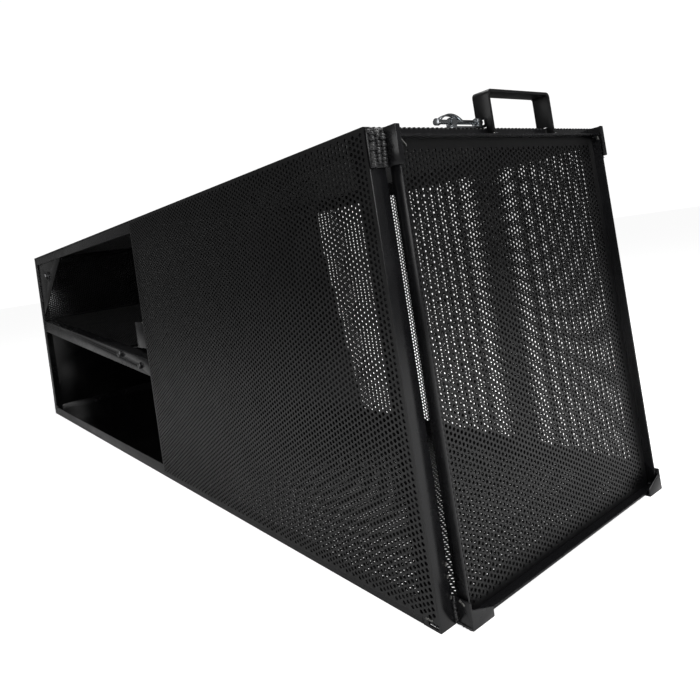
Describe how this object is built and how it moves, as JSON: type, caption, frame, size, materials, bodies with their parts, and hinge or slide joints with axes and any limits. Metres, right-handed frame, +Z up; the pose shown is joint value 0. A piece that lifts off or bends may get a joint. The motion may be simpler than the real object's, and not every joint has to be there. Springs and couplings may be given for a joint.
{
  "type": "live catch trap",
  "caption": "Long angle-iron cage trap with perforated sheet walls, an entry ramp with a sprung treadle, a one-way swing gate and a lift-out end door with a strap handle.",
  "frame": {"origin": "on the ground under the middle of the trap's overall box", "axes": "+X towards the lift-out door along the length, -Y towards the open side of the entry bay, +Z up"},
  "size_m": [1.6924, 0.5156, 0.6],
  "materials": {
    "angle_steel": "semi-gloss black enamel",
    "handle_steel": "semi-gloss black enamel",
    "perforated_sheet": "satin black enamel",
    "plain_sheet": "gloss black enamel",
    "zinc_plate": "bright zinc plate",
    "bright_steel": "plain steel fasteners",
    "spring_steel": "drawn wire"
  },
  "bodies": {
    "cage": {"post_near_door": "angle_steel", "post_far_door": "angle_steel", "post_near_entry": "angle_steel", "post_far_entry": "angle_steel", "mid_post_near": "angle_steel", "mid_post_far": "angle_steel", "rail_top_near": "angle_steel", "rail_top_far": "angle_steel", "rail_bottom_near": "angle_steel", "rail_bottom_far": "angle_steel", "cross_top_door": "angle_steel", "cross_bottom_door": "angle_steel", "cross_top_entry": "angle_steel", "cross_bottom_entry": "angle_steel", "mid_cross_top": "angle_steel", "mid_floor_bar": "angle_steel", "sheet_near": "perforated_sheet", "sheet_far": "perforated_sheet", "sheet_roof": "perforated_sheet", "sheet_floor": "perforated_sheet", "floor_plate_entry": "plain_sheet", "end_plate": "plain_sheet", "end_liner": "perforated_sheet", "gusset_near": "angle_steel", "gusset_far": "angle_steel", "gusset_bolt": "bright_steel", "gusset_washer": "bright_steel", "gusset_nut": "bright_steel", "ramp_rail_near": "angle_steel", "ramp_rail_far": "angle_steel", "ramp_panel": "perforated_sheet", "lug_near": "angle_steel", "lug_far": "angle_steel", "treadle_rod": "bright_steel", "treadle_springs": "spring_steel", "treadle_stop_bar": "angle_steel", "stop_bar_bolt": "bright_steel", "gate_ears": "angle_steel", "gate_rod": "bright_steel", "gate_stop": "angle_steel", "keeper_top_near": "angle_steel", "keeper_top_far": "angle_steel", "keeper_bottom_near": "angle_steel", "keeper_bottom_far": "angle_steel", "latch_base": "zinc_plate", "latch_guides": "zinc_plate", "latch_rivets": "zinc_plate"},
    "rear_door": {"door_stile_near": "angle_steel", "door_stile_far": "angle_steel", "door_rail_top": "angle_steel", "door_rail_bottom": "angle_steel", "door_sheet": "perforated_sheet", "handle": "handle_steel"},
    "latch_slide_bolt": {"latch_bolt": "zinc_plate"},
    "swing_gate": {"gate_tube": "angle_steel", "gate_plate": "plain_sheet", "gate_bar": "angle_steel"},
    "treadle": {"treadle_tube": "angle_steel", "treadle_plate": "plain_sheet"}
  },
  "joints": [
    {"name": "door_lift", "type": "slide", "parent": "cage", "child": "rear_door", "axis": [0, 0, 1], "range_m": [0, 0.56]},
    {"name": "latch_slide", "type": "slide", "parent": "cage", "child": "latch_slide_bolt", "axis": [0, 1, 0], "range_m": [0, 0.012]},
    {"name": "gate_swing", "type": "hinge", "parent": "cage", "child": "swing_gate", "pos_m": [0.11675, 0, 0.53], "axis": [0, -1, 0], "range_deg": [0, 75]},
    {"name": "treadle_tip", "type": "hinge", "parent": "cage", "child": "treadle", "pos_m": [-0.07375, 0, 0.25364], "axis": [0, 1, 0], "range_deg": [0, 8], "stiffness_Nm_per_rad": 10, "springref_deg": -8.02, "deforming": ["treadle_springs"]}
  ]
}
